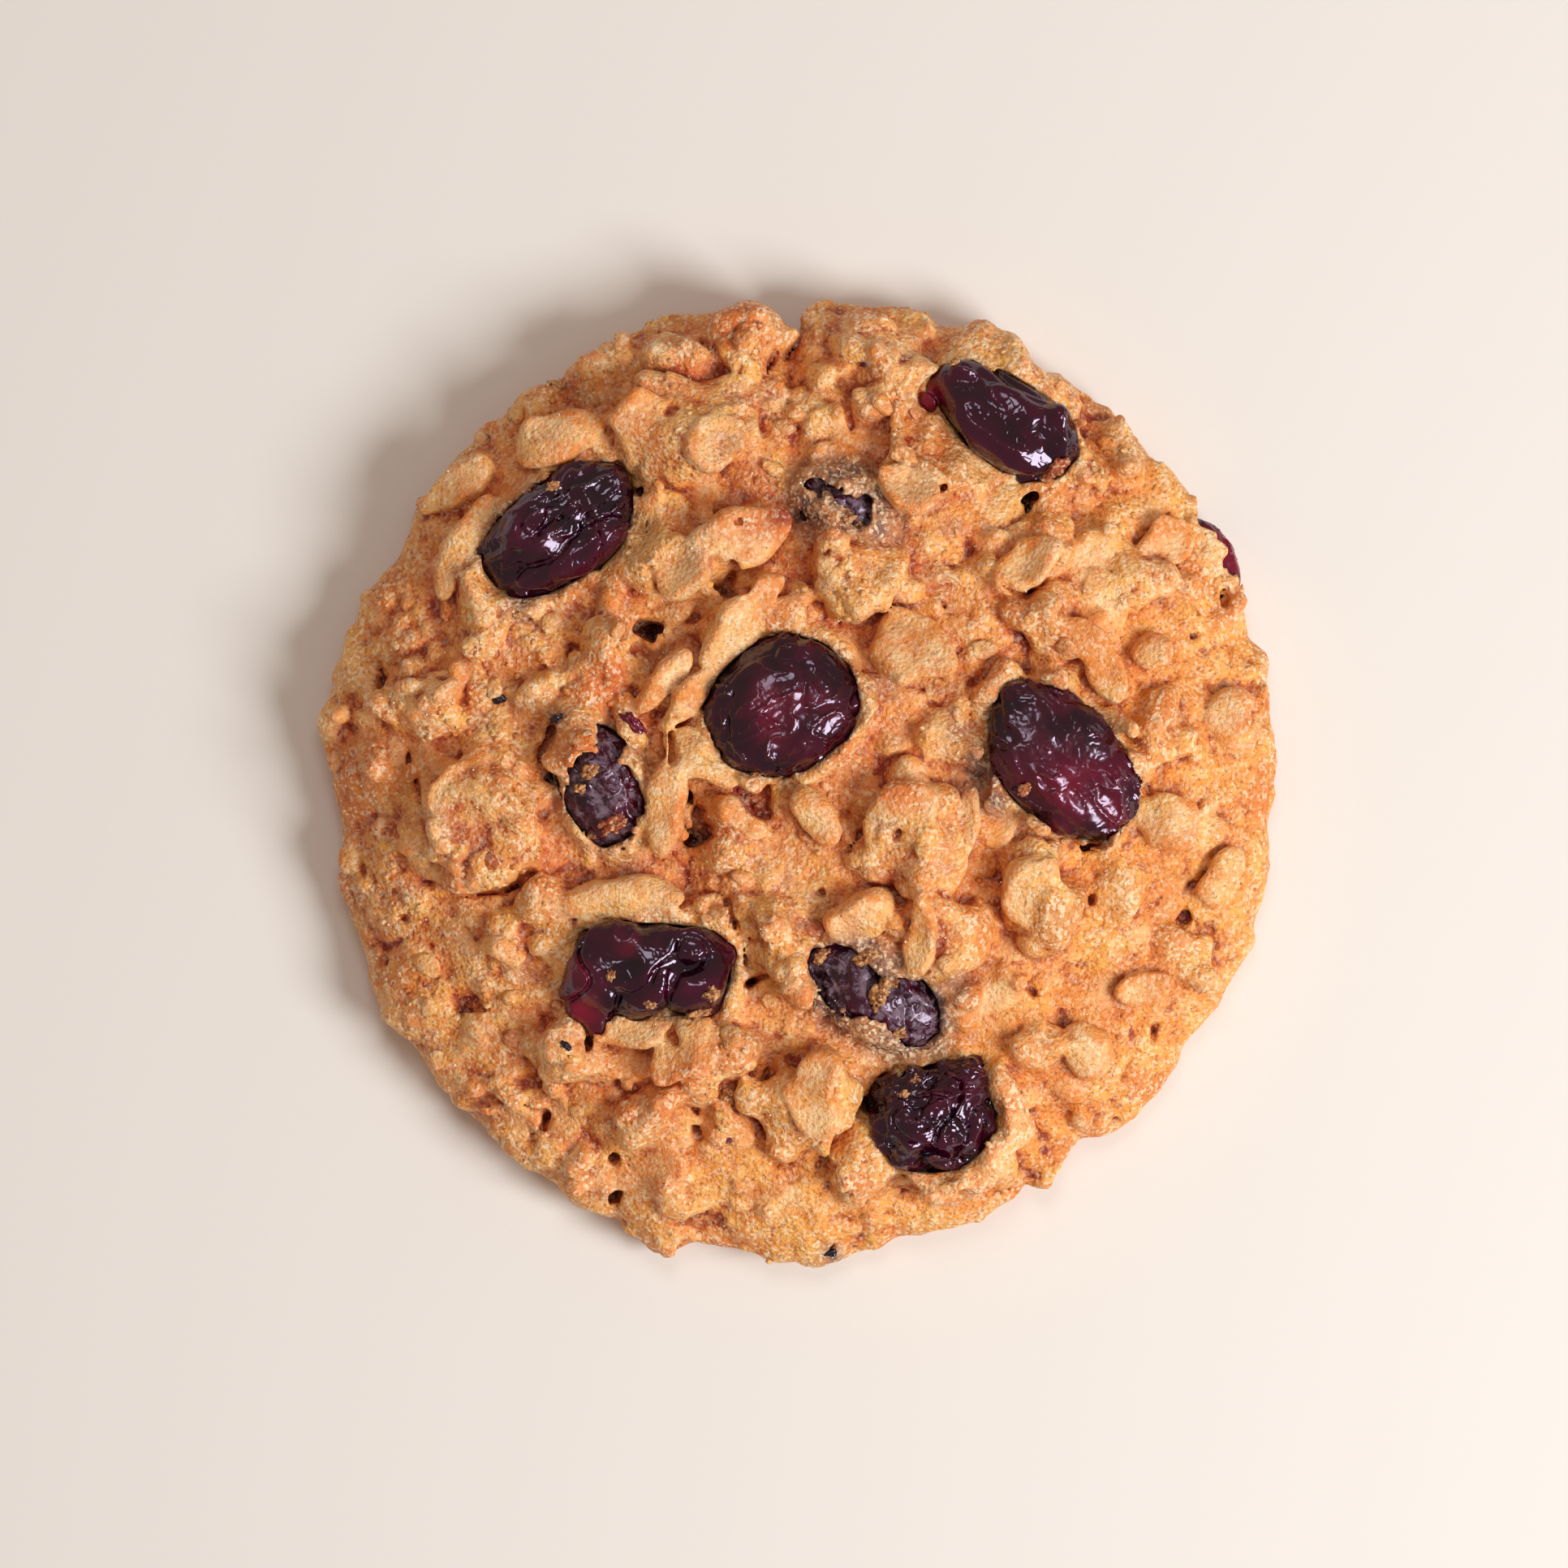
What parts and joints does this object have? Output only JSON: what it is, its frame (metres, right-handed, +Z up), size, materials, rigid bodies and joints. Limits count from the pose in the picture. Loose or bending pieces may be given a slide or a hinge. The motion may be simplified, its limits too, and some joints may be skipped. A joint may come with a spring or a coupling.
{
  "type": "oatmeal cranberry cookie",
  "caption": "Round domed oatmeal cookie with a craggy top of oat flakes and dough clumps, and dried cranberries set into it.",
  "frame": {"origin": "middle of the bounding box, on the flat underside", "axes": "+Z up out of the domed top, +X to the right and +Y away when it is seen from above"},
  "size_m": [0.0754, 0.0768, 0.0156],
  "materials": {
    "dough": "baked oat dough, grainy and matte, golden brown with pale oats and darker cracks",
    "cranberry_skin": "wrinkled dried cranberry skin, glossy dark red",
    "cranberry_filmed": "dark cranberry skin under a thin dull film of dough"
  },
  "bodies": {
    "root": {"oat_dough": "dough", "cranberry_upper_right": "cranberry_skin", "cranberry_upper_left": "cranberry_skin", "cranberry_centre": "cranberry_skin", "cranberry_right": "cranberry_skin", "cranberry_lower_left": "cranberry_skin", "cranberry_lower_right": "cranberry_skin", "cranberry_left_buried": "cranberry_filmed", "cranberry_lower_buried": "cranberry_filmed", "cranberry_peek": "cranberry_filmed", "cranberry_rim": "cranberry_skin"}
  },
  "joints": []
}
